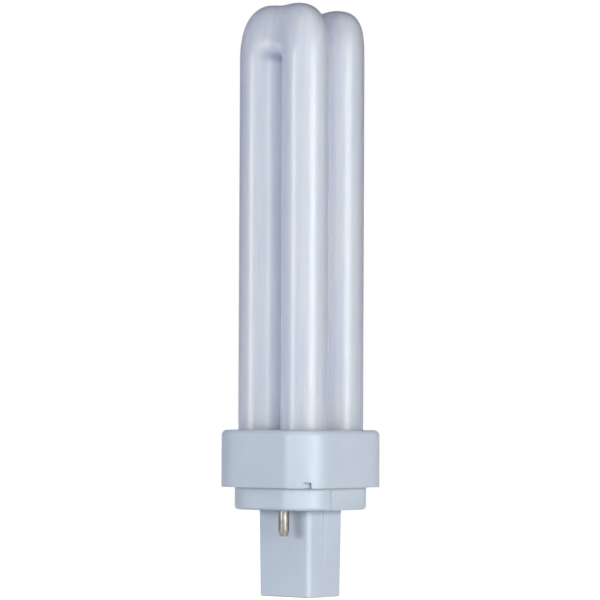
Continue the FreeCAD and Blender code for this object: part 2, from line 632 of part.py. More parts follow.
# Contact pins
def make_contact_pin(name, side):
    """Roll one contact pin: a headed hollow pin with a tapered tip and an open seam."""
    body = add_body(name)
    radius = "(sizes.pin_diameter / 2)"
    top = "(sizes.block_floor + sizes.pin_head_height)"
    add_revolution(body, f"{name}_body", [
        ("sizes.pin_bore / 2", top),
        ("sizes.pin_head_diameter / 2", top),
        ("sizes.pin_head_diameter / 2", "sizes.block_floor"),
        ("sizes.pin_seat_diameter / 2", "sizes.block_floor"),
        ("sizes.pin_seat_diameter / 2", "0"),
        (radius, "0"),
        (radius, "sizes.pin_tip - sizes.pin_length"),
        ("sizes.pin_tip_diameter / 2", "-sizes.pin_length"),
        ("0", "-sizes.pin_length"),
        ("0", f"{top} - sizes.pin_bore_depth"),
        ("sizes.pin_bore / 2", f"{top} - sizes.pin_bore_depth"),
    ])
    seam = add_sketch(body, f"{name}_seam", top)
    draw_rectangle(seam, "-sizes.seam_width / 2", "sizes.seam_width / 2",
                   "-sizes.pin_head_diameter / 2", "-sizes.pin_bore / 2")
    add_pocket(body, f"{name}_seam_cut", seam, f"{top} + sizes.pin_length - sizes.pin_tip")
    body.setExpression("Placement.Base.x", f"{side} * sizes.pin_offset")
    body.setExpression("Placement.Base.y", f"-{side} * {PIN_REACH}")
    body.setExpression("Placement.Base.z", BLOCK_BOTTOM)
    if side < 0:
        body.Placement.Rotation = Rotation(Vector(0, 0, 1), 180)
    return body


# Starter
def make_starter_bulb():
    """Blow the glow starter: a round-shouldered bottle sealed by a flat press."""
    body = add_body("starter_bulb")
    radius = "(sizes.starter_diameter / 2)"
    turned = add_revolution(body, "starter_glass", [
        ("0", "0"),
        (radius, "0"),
        (radius, "sizes.starter_height"),
        ("0", "sizes.starter_height"),
    ])
    add_fillet(body, "starter_shoulders", turned,
               lambda edge: edge.Length > 1.0 and edge.BoundBox.ZLength < 1e-4,
               "sizes.starter_shoulder")
    press = add_sketch(body, "starter_press", "sizes.starter_height")
    draw_rectangle(press, "-sizes.starter_press_thickness / 2",
                   "sizes.starter_press_thickness / 2",
                   "-sizes.starter_press_width / 2", "sizes.starter_press_width / 2")
    add_pad(body, "starter_press_pad", press, "sizes.starter_press_height")
    body.setExpression("Placement.Base.x", STARTER_PLACE)
    body.setExpression("Placement.Base.z", "sizes.post_floor")
    return body


def make_starter_capacitor():
    """Dip the capacitor that stands beside the starter: a block with rounded corners."""
    body = add_body("starter_capacitor")
    outline = add_sketch(body, "capacitor_outline")
    draw_rounded_rectangle(outline, "sizes.capacitor_thickness", "sizes.capacitor_width",
                           "sizes.capacitor_edge")
    block = add_pad(body, "capacitor_block", outline, "sizes.capacitor_height")
    top = worked_out("sizes.capacitor_height")
    add_fillet(body, "capacitor_edges", block,
               lambda edge: lies_level(edge, 0.0) or lies_level(edge, top),
               "sizes.capacitor_edge / 2")
    body.setExpression("Placement.Base.x", CAPACITOR_PLACE)
    body.setExpression("Placement.Base.z", "sizes.post_floor")
    return body


# Wires
def make_wire(name, points):
    """Bend a round wire through points, with an arc at each turn."""
    bend = size("wire_bend")
    radius = size("wire_diameter") / 2
    edges = []
    here = points[0]
    for corner, after in zip(points[1:-1], points[2:]):
        incoming = (corner - here).normalize()
        outgoing = (after - corner).normalize()
        turn = incoming.getAngle(outgoing)
        setback = bend * math.tan(turn / 2)
        start = corner - incoming * setback
        end = corner + outgoing * setback
        inward = (outgoing - incoming).normalize()
        middle = corner + inward * (bend / math.cos(turn / 2) - bend)
        edges.append(Part.LineSegment(here, start).toShape())
        edges.append(Part.Arc(start, middle, end).toShape())
        here = end
    edges.append(Part.LineSegment(here, points[-1]).toShape())
    path = Part.Wire(edges)
    direction = points[1] - points[0]
    section = Part.Wire([Part.Circle(points[0], direction, radius).toShape()])
    wire = document.addObject("Part::Feature", name)
    wire.Label = name
    wire.Shape = path.makePipeShell([section], True, True)
    return wire


def make_wires():
    """Run the leads from the two presses to the pins and the starter."""
    press_bottom = worked_out(PRESS_BOTTOM)
    half_pitch = worked_out(HALF_PITCH)
    starter_top = size("post_floor") + size("starter_height") + size("starter_press_height")
    head_top = worked_out(BLOCK_FLOOR) + size("pin_head_height")
    bore_bottom = head_top - size("pin_bore_depth") + size("solder_gap")
    lead_reach = size("lead_spacing") / 2
    wires = []
    for side, place in ((1, "front"), (-1, "rear")):
        press_y = -side * half_pitch
        pin_x = side * size("pin_offset")
        pin_y = -side * worked_out(PIN_REACH)
        inner_x = -half_pitch + lead_reach
        level = press_bottom - size("pin_lead_drop")
        wires.append(make_wire(f"pin_lead_{place}", [
            Vector(inner_x, press_y, press_bottom),
            Vector(inner_x, press_y, level),
            Vector(pin_x, pin_y, level),
            Vector(pin_x, pin_y, bore_bottom),
        ]))
        outer_x = -half_pitch - lead_reach
        level = press_bottom - size("starter_lead_drop")
        starter_x = worked_out(STARTER_PLACE)
        starter_y = -side * size("starter_lead_spacing") / 2
        wires.append(make_wire(f"starter_lead_{place}", [
            Vector(outer_x, press_y, press_bottom),
            Vector(outer_x, press_y, level),
            Vector(starter_x, starter_y, level),
            Vector(starter_x, starter_y, starter_top),
        ]))
        capacitor_x = worked_out(CAPACITOR_PLACE)
        capacitor_top = size("post_floor") + size("capacitor_height")
        level = (starter_top + worked_out(BLOCK_FLOOR)) / 2
        reach = size("wire_diameter") / 2 + size("solder_gap")
        wires.append(make_wire(f"capacitor_lead_{place}", [
            Vector(capacitor_x, starter_y, capacitor_top),
            Vector(capacitor_x, starter_y, level),
            Vector(starter_x + reach, starter_y, level),
        ]))
    return wires


# Build every sub-part, see that each is sound and write it
SUBPARTS = [
    make_discharge_tube(),
    make_tube_collar(),
    make_basing_cement(),
    make_plug_housing(),
    make_contact_pin("contact_pin_front", 1),
    make_contact_pin("contact_pin_rear", -1),
    make_starter_bulb(),
    make_starter_capacitor(),
] + make_wires()

document.recompute()
for item in document.Objects:
    if "Invalid" in item.State or "Error" in item.State:
        raise RuntimeError(f"{item.Label} failed: {item.State}")

os.makedirs("parts", exist_ok=True)
for item in SUBPARTS:
    shape = item.Shape
    if shape.isNull() or not shape.isValid():
        raise RuntimeError(f"{item.Label} has no sound shape")
    shape.exportStep(f"parts/{item.Label}.step")
    print(f"{item.Label}: {len(shape.Solids)} solid, {shape.Volume:.1f} mm3, "
          f"{shape.BoundBox.ZMin:.2f} to {shape.BoundBox.ZMax:.2f}")
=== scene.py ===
"""Plug-in compact fluorescent bulb, dressed and lit as in the photograph.

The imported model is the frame. Metres, +Z up, the post's closed end stands at z = 0. The two
glass U tubes and the contact pins are modelled again here, with the bends moulded as the real
ones are; the collar, the plug housing and what stands inside them are the frame's own solids.
"""
import bpy
import math
from mathutils import Matrix, Vector


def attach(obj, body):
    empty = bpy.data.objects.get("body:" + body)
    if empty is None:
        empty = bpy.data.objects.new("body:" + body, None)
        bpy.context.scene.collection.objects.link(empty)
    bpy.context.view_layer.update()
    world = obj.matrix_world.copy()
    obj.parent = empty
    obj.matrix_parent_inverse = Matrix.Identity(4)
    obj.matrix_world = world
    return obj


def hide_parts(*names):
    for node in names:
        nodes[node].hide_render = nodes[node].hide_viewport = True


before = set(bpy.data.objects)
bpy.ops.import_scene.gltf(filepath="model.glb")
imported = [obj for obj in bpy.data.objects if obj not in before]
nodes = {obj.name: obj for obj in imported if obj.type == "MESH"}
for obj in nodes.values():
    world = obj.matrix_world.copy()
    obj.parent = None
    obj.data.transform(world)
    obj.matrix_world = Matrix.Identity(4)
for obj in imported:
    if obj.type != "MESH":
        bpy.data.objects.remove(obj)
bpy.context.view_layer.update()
scene = bpy.context.scene
scene.view_settings.view_transform = "Standard"

# Lengths in metres: one millimetre, and how close two places are taken as the same
MM = 0.001
NEAR = 0.01 * MM
MERGE_DISTANCE = 0.001 * MM


# Colours and nodes
def colour(code):
    """Turn an sRGB hex value into linear RGBA."""
    channels = [int(code[i:i + 2], 16) / 255 for i in (1, 3, 5)]
    linear = [c / 12.92 if c <= 0.04045 else ((c + 0.055) / 1.055) ** 2.4 for c in channels]
    return (*linear, 1.0)


def fill_sockets(tree, node, sockets):
    """Give the sockets of a node their values, or their links from other nodes."""
    for name, value in sockets.items():
        if isinstance(value, bpy.types.NodeSocket):
            tree.links.new(value, node.inputs[name])
        else:
            node.inputs[name].default_value = value


def add_node(tree, kind, sockets, **settings):
    """Add a node, with its settings, and with values or links for its sockets."""
    node = tree.nodes.new(kind)
    for name, value in settings.items():
        setattr(node, name, value)
    fill_sockets(tree, node, sockets)
    return node


def start_material(name):
    """Start a material, and give its tree, its shader and its place on the object."""
    material = bpy.data.materials.new(name)
    material.use_nodes = True
    tree = material.node_tree
    shader = tree.nodes["Principled BSDF"]
    place = add_node(tree, "ShaderNodeTexCoord", {}).outputs["Object"]
    return material, tree, shader, place


def calculate(tree, operation, *values):
    """Work out a number from other numbers, each a value or a link."""
    node = add_node(tree, "ShaderNodeMath", dict(enumerate(values)), operation=operation)
    return node.outputs["Value"]


def remap(tree, value, low, high, start=0.0, end=1.0, **settings):
    """Turn a number that runs from start to end into one that runs from low to high."""
    node = add_node(tree, "ShaderNodeMapRange", {
        "Value": value, "From Min": start, "From Max": end, "To Min": low, "To Max": high},
        **settings)
    return node.outputs["Result"]


def speckle(tree, place, period_mm, detail=2.0, stretch=(1.0, 1.0, 1.0)):
    """Give a noise whose lumps are about one period apart, stretched along the axes."""
    scaled = add_node(tree, "ShaderNodeMapping", {
        "Vector": place, "Scale": [1.0 / (period_mm * MM * s) for s in stretch]})
    noise = add_node(tree, "ShaderNodeTexNoise", {
        "Vector": scaled.outputs["Vector"], "Scale": 1.0, "Detail": detail, "Roughness": 0.5})
    return noise.outputs["Fac"]


def spread(tree, noise, low, high):
    """Turn a noise, most of which lies between 0.3 and 0.7, into a number between two limits."""
    return remap(tree, noise, low, high, start=0.3, end=0.7)


def blend_colours(tree, amount, first, second, low=0.3, high=0.7):
    """Blend from one colour to another as an amount runs from low to high."""
    ramp = add_node(tree, "ShaderNodeValToRGB", {"Fac": amount})
    ramp.color_ramp.elements[0].position = low
    ramp.color_ramp.elements[0].color = colour(first)
    ramp.color_ramp.elements[1].position = high
    ramp.color_ramp.elements[1].color = colour(second)
    return ramp.outputs["Color"]


def emboss(tree, height, strength, depth_mm, under=None):
    """Give the slope of a surface raised by a noise, on top of a broader one if there is any."""
    sockets = {"Height": height, "Strength": strength, "Distance": depth_mm * MM}
    if under is not None:
        sockets["Normal"] = under
    return add_node(tree, "ShaderNodeBump", sockets).outputs["Normal"]


def seen_by(tree, *rays):
    """Give 1 for the kinds of ray that are named and 0 for all others."""
    path = add_node(tree, "ShaderNodeLightPath", {})
    chosen = path.outputs[rays[0]]
    for ray in rays[1:]:
        chosen = calculate(tree, "MAXIMUM", chosen, path.outputs[ray])
    return chosen


def mix_shaders(tree, share, first, second):
    """Mix two shaders by the share of the second."""
    node = add_node(tree, "ShaderNodeMixShader", {"Fac": share, 1: first, 2: second})
    return node.outputs[0]


# Glass: the skin chilled by the mould on the bends, and the painted shade at the crotch
SKIN_START = 143.5 * MM
SKIN_FULL = 150.0 * MM
SKIN_SLANT = 0.6
# Where the painted shade at the crotch sits, and how far it reaches across and up
PAINTED_SHADE_CENTRE = (-1.5 * MM, 0.0, 139.0 * MM)
PAINTED_SHADE_HALF_WIDTH = 3.0 * MM
PAINTED_SHADE_HALF_HEIGHT = 1.9 * MM


def mould_height(tree, place):
    """Give the height up the lamp, with the moulded skin reaching lower on the -X side."""
    parts = add_node(tree, "ShaderNodeSeparateXYZ", {"Vector": place})
    return calculate(tree, "MULTIPLY_ADD", parts.outputs["X"], -SKIN_SLANT, parts.outputs["Z"])


def painted_crotch_shade(tree, place, powder):
    """Paint shade into the powder's colour round the crotch, where the limbs meet and shade
    falls.
    """
    moved = add_node(tree, "ShaderNodeVectorMath", {0: place, 1: PAINTED_SHADE_CENTRE},
                     operation="SUBTRACT")
    scaled = add_node(tree, "ShaderNodeVectorMath", {
        0: moved.outputs["Vector"], 1: (1.0 / PAINTED_SHADE_HALF_WIDTH, 0.0, 1.0 / PAINTED_SHADE_HALF_HEIGHT)},
        operation="MULTIPLY")
    away = add_node(tree, "ShaderNodeVectorMath", {0: scaled.outputs["Vector"]},
                    operation="LENGTH")
    # Painted shade: darkest at the crotch and fading out from there, blended towards a dark grey
    amount = remap(tree, away.outputs["Value"], 0.4, 0.0, start=0.3, end=1.0)
    # In a mix of colours, socket 0 is the share and sockets 6 and 7 are the two colours
    mixed = add_node(tree, "ShaderNodeMix", {0: amount, 6: powder, 7: colour("#6f7486")},
                     data_type="RGBA")
    return mixed.outputs[2]


def powder_coated_glass():
    """Drawn soda-lime glass tube, coated inside with phosphor powder.

    The powder is a matt, slightly lilac white, with faint clouds and with long streaks where
    it ran down the tube. Light soaks far through it, and each coated wall lets half of a lamp's
    light straight on, so the shaded strips between two limbs stay soft. The clear wall over
    the powder mirrors more and more towards the limb's edge, where it shows the dim room as a
    darker rim, or the bright neighbour limb. Its soft streaks are the two lamps, and they fade
    out on the bends, where the mould has chilled the glass to a duller skin.
    """
    material, tree, shader, place = start_material("phosphor_coated_drawn_glass")
    cloudy = speckle(tree, place, 9.0, stretch=(1.0, 1.0, 4.0))
    streaky = speckle(tree, place, 1.7, stretch=(1.0, 1.0, 30.0))
    # In a mix of numbers, socket 0 is the share and sockets 2 and 3 are the two numbers
    uneven = add_node(tree, "ShaderNodeMix", {0: 0.6, 2: cloudy, 3: streaky})
    powder = blend_colours(tree, uneven.outputs[0], "#d3daea", "#ebeef4")
    grain = speckle(tree, place, 0.6)
    fill_sockets(tree, shader, {
        # Base colour, with painted shade at the crotch
        "Base Color": painted_crotch_shade(tree, place, powder),
        "Roughness": spread(tree, grain, 0.55, 0.7),
        "Specular IOR Level": 0.0,
        "Subsurface Weight": 1.0,
        "Subsurface Radius": (1.0, 1.0, 1.15),
        "Subsurface Scale": 30.0 * MM,
    })
    edge_on = add_node(tree, "ShaderNodeLayerWeight", {"Blend": 0.5}).outputs["Facing"]
    steep = calculate(tree, "POWER", edge_on, 1.8)
    share = remap(tree, steep, 0.032, 0.82)
    chilled = remap(tree, mould_height(tree, place), 0.29, 0.52, start=SKIN_START,
                    end=SKIN_FULL, interpolation_type="SMOOTHSTEP")
    ripple = speckle(tree, place, 14.0, detail=1.0, stretch=(1.0, 1.0, 3.0))
    wall = add_node(tree, "ShaderNodeBsdfGlossy", {
        "Color": blend_colours(tree, steep, "#ecf4e6", "#dfe1f4", 0.02, 0.3),
        "Roughness": chilled,
        "Normal": emboss(tree, ripple, 0.2, 0.1)})
    coated = mix_shaders(tree, share, shader.outputs[0], wall.outputs[0])
    clear = add_node(tree, "ShaderNodeBsdfTransparent", {})
    passed = calculate(tree, "MULTIPLY", seen_by(tree, "Is Shadow Ray"), 0.5)
    whole = mix_shaders(tree, passed, coated, clear.outputs[0])
    fill_sockets(tree, tree.nodes["Material Output"], {"Surface": whole})
    return material


# Materials of the cap and of what stands inside it
def moulded_plastic():
    """Injection-moulded PBT, white with a cool cast.

    Its fine spark-eroded grain makes the shine broad and soft, and the moulding leaves the
    faint clouds and flow marks that keep a wide face from looking flat.
    """
    material, tree, shader, place = start_material("moulded_white_pbt")
    clouds = speckle(tree, place, 11.0, detail=3.0)
    patches = speckle(tree, place, 5.0)
    flow = speckle(tree, place, 6.0, detail=1.0, stretch=(1.0, 1.0, 2.5))
    grain = speckle(tree, place, 0.35, detail=1.0)
    waves = emboss(tree, flow, 0.5, 0.06)
    fill_sockets(tree, shader, {
        "Base Color": blend_colours(tree, clouds, "#d9e1e7", "#e1e9ee"),
        "Roughness": spread(tree, patches, 0.34, 0.46),
        "IOR": 1.5,
        "Subsurface Weight": 0.6,
        "Subsurface Radius": (1.0, 1.0, 1.0),
        "Subsurface Scale": 1.6 * MM,
        "Normal": emboss(tree, grain, 0.35, 0.02, under=waves),
    })
    return material


def plated_brass():
    """Brass strip rolled into a pin and nickel plated.

    The plating is grey with a warm cast where it is thin, duller in random patches, with fine
    draw lines along the pin. Its grey is set darker than the plating's own as painted shade,
    standing in for the dark surroundings that the pin would mirror.
    """
    material, tree, shader, place = start_material("nickel_plated_rolled_brass")
    wear = speckle(tree, place, 1.8, detail=4.0)
    lines = speckle(tree, place, 0.16, detail=1.0, stretch=(1.0, 1.0, 30.0))
    fill_sockets(tree, shader, {
        # Painted shade: the plating's grey is set darker to stand in for the dark surroundings it
        # mirrors
        "Base Color": blend_colours(tree, wear, "#837f79", "#a39f98"),
        "Metallic": 1.0,
        "Roughness": spread(tree, wear, 0.4, 0.26),
        "Normal": emboss(tree, lines, 0.3, 0.01),
    })
    return material


def basing_cement():
    """Cast basing cement: a chalky filled resin, buff and pitted, with no shine."""
    material, tree, shader, place = start_material("cast_basing_cement")
    mottle = speckle(tree, place, 1.6, detail=4.0)
    pits = speckle(tree, place, 0.7, detail=3.0)
    fill_sockets(tree, shader, {
        "Base Color": blend_colours(tree, mottle, "#b7b0a0", "#cfcabb"),
        "Roughness": 0.9,
        "Normal": emboss(tree, pits, 0.6, 0.12),
    })
    return material


def starter_glass():
    """Blown lead glass of the glow starter: clear, slightly grey, with a fire-polished skin."""
    material, tree, shader, place = start_material("blown_starter_glass")
    haze = speckle(tree, place, 4.0, stretch=(1.0, 1.0, 3.0))
    fill_sockets(tree, shader, {
        "Base Color": blend_colours(tree, haze, "#e3e9ea", "#f2f5f5"),
        "Roughness": spread(tree, haze, 0.04, 0.1),
        "Transmission Weight": 0.9,
        "IOR": 1.55,
    })
    return material


def dipped_epoxy():
    """Epoxy-dipped foil capacitor: a red-brown skin, glossy and a little lumpy."""
    material, tree, shader, place = start_material("dipped_epoxy_resin")
    shade = speckle(tree, place, 3.0, detail=3.0)
    lumps = speckle(tree, place, 1.5, detail=1.0)
    fill_sockets(tree, shader, {
        "Base Color": blend_colours(tree, shade, "#7c3a1f", "#934a28"),
        "Roughness": spread(tree, shade, 0.24, 0.36),
        "Normal": emboss(tree, lumps, 0.4, 0.08),
    })
    return material


def tinned_wire():
    """Drawn copper wire, tinned: soft grey metal, duller in patches."""
    material, tree, shader, place = start_material("tinned_drawn_copper")
    dull = speckle(tree, place, 0.9, detail=3.0)
    fill_sockets(tree, shader, {
        "Base Color": blend_colours(tree, dull, "#a5a39f", "#bdbbb6"),
        "Metallic": 1.0,
        "Roughness": spread(tree, dull, 0.28, 0.45),
    })
    return material


coated_glass = powder_coated_glass()
white_plastic = moulded_plastic()
pin_metal = plated_brass()
lead_wire = tinned_wire()
FINISHES = {
    "tube_collar": white_plastic,
    "plug_housing": white_plastic,
    "basing_cement": basing_cement(),
    "starter_bulb": starter_glass(),
    "starter_capacitor": dipped_epoxy(),
}


def give_material(piece, material):
    """Leave one material on a piece."""
    piece.data.materials.clear()
    piece.data.materials.append(material)


for node_name, node in nodes.items():
    if "lead_" in node_name:
        give_material(node, lead_wire)
    elif node_name in FINISHES:
        give_material(node, FINISHES[node_name])


# Modelling helpers
def start_edit(piece):
    """Edit one piece alone, with nothing selected in it."""
    bpy.ops.object.select_all(action="DESELECT")
    piece.select_set(True)
    bpy.context.view_layer.objects.active = piece
    bpy.ops.object.mode_set(mode="EDIT")
    bpy.ops.mesh.select_mode(type="VERT")
    bpy.ops.mesh.select_all(action="DESELECT")


def end_edit():
    """Go back to object mode."""
    bpy.ops.object.mode_set(mode="OBJECT")


def pick_points(piece, wanted):
    """Select the points of the edited piece that pass a test."""
    end_edit()
    for point in piece.data.vertices:
        point.select = wanted(point.co)
    for edge in piece.data.edges:
        edge.select = all(piece.data.vertices[i].select for i in edge.vertices)
    for face in piece.data.polygons:
        face.select = all(piece.data.vertices[i].select for i in face.vertices)
    bpy.ops.object.mode_set(mode="EDIT")


def start_ring(name, segments, radius, place, turned=(0.0, 0.0, 0.0)):
    """Add a ring of points at its place, with its object left at the origin."""
    bpy.ops.object.select_all(action="DESELECT")
    bpy.ops.mesh.primitive_circle_add(vertices=segments, radius=radius, fill_type="NOTHING",
                                      location=place, rotation=turned)
    piece = bpy.context.object
    piece.name = name
    bpy.ops.object.transform_apply(location=True, rotation=True, scale=True)
    return piece


def draw_on(shift, centre=None, scale=1.0):
    """Extrude the selected ring by a shift and scale its new end about a centre."""
    bpy.ops.mesh.extrude_region_move(TRANSFORM_OT_translate={"value": shift})
    if centre is not None:
        bpy.ops.transform.resize(value=(scale, scale, 1.0), center_override=centre)


def finish_piece(piece, smooth_angle=None):
    """Close doubles, turn the faces outwards and smooth the piece."""
    bpy.ops.mesh.select_all(action="SELECT")
    bpy.ops.mesh.remove_doubles(threshold=MERGE_DISTANCE)
    bpy.ops.mesh.normals_make_consistent(inside=False)
    end_edit()
    if smooth_angle is None:
        bpy.ops.object.shade_smooth()
    else:
        bpy.ops.object.shade_smooth_by_angle(angle=math.radians(smooth_angle))


def fuse_to_tube(piece):
    """Make a glass piece part of the dressed discharge tube."""
    give_material(piece, coated_glass)
    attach(piece, "root")
    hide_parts("discharge_tube")


# Glass U tubes: the limbs and how finely they are drawn
LIMB_RADIUS = 6.1 * MM
LIMB_GAP = 2.1 * MM
HALF_PITCH = LIMB_RADIUS + LIMB_GAP / 2
CROTCH_RADIUS = LIMB_GAP / 2
HALF_WIDTH = HALF_PITCH + LIMB_RADIUS
FOOT_LEVEL = 36.5 * MM
FRONT_CROWN = 153.1 * MM
REAR_CROWN = FRONT_CROWN - 1.1 * MM
LIMB_SEGMENTS = 72
LIMB_LEAD = 0.5 * MM
BEND_STEPS = 48
FOOT_STEPS = 6

# The mould of the bends. The saddle is the dip between the two domes. The waist and the taper
# make the bend slimmer from front to back, the waist sooner on one side than on the other,
# and the flatness squares its section.
SADDLE_DEPTH = 0.8 * MM
SADDLE_SHARPNESS = 24
WAIST_DEPTH = 0.8 * MM
WAIST_SHARPNESS = (5, 2)
BEND_TAPER = 0.3
BEND_FLATNESS = 1.0


def draw_limb(length):
    """Draw a straight limb, with a ring near each end that keeps its shading straight."""
    lead = math.copysign(LIMB_LEAD, length)
    for step in (lead, length - 2 * lead, lead):
        draw_on((0.0, 0.0, step))


def dome_foot(piece, side_x, y):
    """Close one open limb end with the dome that the blown foot has."""
    centre_x = side_x * HALF_PITCH
    pick_points(piece, lambda co: abs(co.z - FOOT_LEVEL) < NEAR and co.x * side_x > 0)
    angles = [math.pi / 2 * number / FOOT_STEPS for number in range(FOOT_STEPS + 1)]
    for before, after in zip(angles[:-2], angles[1:-1]):
        drop = LIMB_RADIUS * (math.sin(after) - math.sin(before))
        level = FOOT_LEVEL - LIMB_RADIUS * math.sin(after)
        draw_on((0.0, 0.0, -drop), (centre_x, y, level), math.cos(after) / math.cos(before))
    drop = LIMB_RADIUS * (1.0 - math.sin(angles[-2]))
    draw_on((0.0, 0.0, -drop))
    bpy.ops.mesh.merge(type="CENTER")


def mould_bend(piece, y, crotch_level, powers, height):
    """Press the plain bend into its mould: square shoulders, a dip and a waist on top."""
    for point in piece.data.vertices:
        upward = point.co.z - crotch_level
        if upward <= 0.0:
            continue
        reach = math.hypot(point.co.x, upward)
        angle = math.atan2(upward, point.co.x)
        side = 0 if angle <= math.pi / 2 else 1
        rise = math.sin(angle)
        power = powers[side]
        outline = ((abs(math.cos(angle)) / HALF_WIDTH) ** power
                   + (rise / height) ** power) ** (-1.0 / power)
        outline -= SADDLE_DEPTH * rise ** SADDLE_SHARPNESS
        outward = (reach - CROTCH_RADIUS - LIMB_RADIUS) / LIMB_RADIUS
        stretch = (outline - CROTCH_RADIUS) / (2 * LIMB_RADIUS)
        reach = CROTCH_RADIUS + (reach - CROTCH_RADIUS) * stretch
        point.co.x = reach * math.cos(angle)
        point.co.z = crotch_level + reach * rise
        slim = 1.0 - WAIST_DEPTH / LIMB_RADIUS * rise ** WAIST_SHARPNESS[side]
        slim -= BEND_TAPER * (1.0 + outward) / 2 * rise ** 2
        flat = 2.0 + BEND_FLATNESS * rise ** 3
        half_depth = max(1.0 - abs(outward) ** flat, 0.0) ** (1.0 / flat) * LIMB_RADIUS * slim
        point.co.y = y + math.copysign(half_depth, point.co.y - y)


def blow_u_tube(name, side_y, crown, powers, bulge):
    """Draw a limb up, spin it over the crotch, draw the other limb down and mould the bend."""
    y = side_y * HALF_PITCH
    height = CROTCH_RADIUS + 2 * LIMB_RADIUS + bulge
    crotch_level = crown - height
    straight = crotch_level - FOOT_LEVEL
    piece = start_ring(name, LIMB_SEGMENTS, LIMB_RADIUS, (HALF_PITCH, y, FOOT_LEVEL))
    start_edit(piece)
    bpy.ops.mesh.select_all(action="SELECT")
    draw_limb(straight)
    bpy.ops.mesh.spin(steps=BEND_STEPS, angle=math.pi, center=(0.0, y, crotch_level),
                      axis=(0.0, 1.0, 0.0))
    draw_limb(-straight)
    dome_foot(piece, 1, y)
    dome_foot(piece, -1, y)
    finish_piece(piece)
    mould_bend(piece, y, crotch_level, powers, height)
    fuse_to_tube(piece)


blow_u_tube("front_u_tube", -1, FRONT_CROWN, (3.2, 2.8), 1.7 * MM)
blow_u_tube("rear_u_tube", 1, REAR_CROWN, (4.1, 2.5), 1.5 * MM)

# Glass bridge and presses, at the limbs' feet. The neck is a share of the bridge's radius, the
# flares end at a share of its half length, and what is sunk in is a share of the limb's radius.
BRIDGE_SEGMENTS = 32
BRIDGE_RADIUS = 3.2 * MM
BRIDGE_NECK = 0.84
BRIDGE_FLARE_END = 0.55
BRIDGE_SUNK = 0.1
PRESS_SUNK = 0.2
PRESS_WIDTH = 6.5 * MM
PRESS_DEPTH = 2.4 * MM
PRESS_BOTTOM = 28.0 * MM
PRESS_TOP = FOOT_LEVEL - LIMB_RADIUS * (1.0 - PRESS_SUNK)
PRESS_SPREAD = 1.35
PRESS_EDGE = 0.45 * MM


def draw_bridge():
    """Draw the short glass bridge that joins the two tubes, flared where it is fused on."""
    reach = HALF_PITCH - LIMB_RADIUS * (1.0 - BRIDGE_SUNK)
    piece = start_ring("glass_bridge", BRIDGE_SEGMENTS, BRIDGE_RADIUS,
                       (HALF_PITCH, -reach, FOOT_LEVEL), turned=(math.pi / 2, 0.0, 0.0))
    start_edit(piece)
    bpy.ops.mesh.select_all(action="SELECT")
    here = -1.0
    for after, scale in ((-BRIDGE_FLARE_END, BRIDGE_NECK), (BRIDGE_FLARE_END, 1.0),
                         (1.0, 1.0 / BRIDGE_NECK)):
        bpy.ops.mesh.extrude_region_move(
            TRANSFORM_OT_translate={"value": (0.0, (after - here) * reach, 0.0)})
        bpy.ops.transform.resize(value=(scale, 1.0, scale),
                                 center_override=(HALF_PITCH, after * reach, FOOT_LEVEL))
        here = after
    finish_piece(piece)
    fuse_to_tube(piece)


def press_foot(name, side_y):
    """Pinch the flat press that seals an electrode, with its softened edges."""
    y = side_y * HALF_PITCH
    middle = (PRESS_TOP + PRESS_BOTTOM) / 2
    bpy.ops.object.select_all(action="DESELECT")
    bpy.ops.mesh.primitive_cube_add(size=1.0, location=(-HALF_PITCH, y, middle),
                                    scale=(PRESS_WIDTH, PRESS_DEPTH, PRESS_TOP - PRESS_BOTTOM))
    piece = bpy.context.object
    piece.name = name
    bpy.ops.object.transform_apply(location=True, rotation=True, scale=True)
    start_edit(piece)
    pick_points(piece, lambda co: co.z > middle)
    bpy.ops.transform.resize(value=(1.0, PRESS_SPREAD, 1.0),
                             center_override=(-HALF_PITCH, y, PRESS_TOP))
    bpy.ops.mesh.select_all(action="SELECT")
    bpy.ops.mesh.bevel(offset=PRESS_EDGE, segments=3, affect="EDGES")
    finish_piece(piece, smooth_angle=40.0)
    fuse_to_tube(piece)


draw_bridge()
press_foot("front_press", -1)
press_foot("rear_press", 1)

# Contact pins. The rings give each radius and its level above the block's underside, in mm:
# up the tip and the shank, round the seat and the head, and down the lead bore.
BLOCK_BOTTOM = 22.4 * MM
PIN_X = 3.7 * MM
PIN_Y = 11.0 * MM
PIN_RADIUS = 1.4 * MM
PIN_SEGMENTS = 32
PIN_RINGS = [
    (0.25, -6.45), (0.55, -6.56), (0.85, -6.6), (0.98, -6.5), (1.14, -6.05), (1.3, -5.55),
    (1.38, -5.2), (1.4, -4.9), (1.4, -0.02), (1.6, 0.0), (1.6, 1.5), (2.0, 1.5), (2.1, 1.6),
    (2.1, 2.4), (2.0, 2.5), (0.6, 2.5), (0.55, 2.45), (0.55, -3.4),
]
SEAM_LENGTH = 5.0 * MM
SEAM_DEPTH = 0.4 * MM
SEAM_SIDE = 1.2 * MM


def roll_pin(name, side):
    """Roll one contact pin: tapered round tip, seat, head, lead bore and open seam."""
    x, y = side * PIN_X, -side * PIN_Y
    radius, level = PIN_RINGS[0]
    piece = start_ring(name, PIN_SEGMENTS, radius * MM, (x, y, BLOCK_BOTTOM + level * MM),
                       turned=(0.0, 0.0, math.pi / PIN_SEGMENTS))
    start_edit(piece)
    bpy.ops.mesh.select_all(action="SELECT")
    bpy.ops.mesh.edge_face_add()
    pick_points(piece, lambda co: True)
    for next_radius, next_level in PIN_RINGS[1:]:
        bpy.ops.mesh.extrude_edges_move(
            TRANSFORM_OT_translate={"value": (0.0, 0.0, (next_level - level) * MM)})
        scale = next_radius / radius
        bpy.ops.transform.resize(value=(scale, scale, 1.0),
                                 center_override=(x, y, BLOCK_BOTTOM + next_level * MM))
        radius, level = next_radius, next_level
    bpy.ops.mesh.edge_face_add()
    end_edit()
    start_edit(piece)
    press_seam(piece, x, y, side)
    finish_piece(piece, smooth_angle=35.0)
    give_material(piece, pin_metal)
    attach(piece, "root")
    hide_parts(f"contact_{name}")


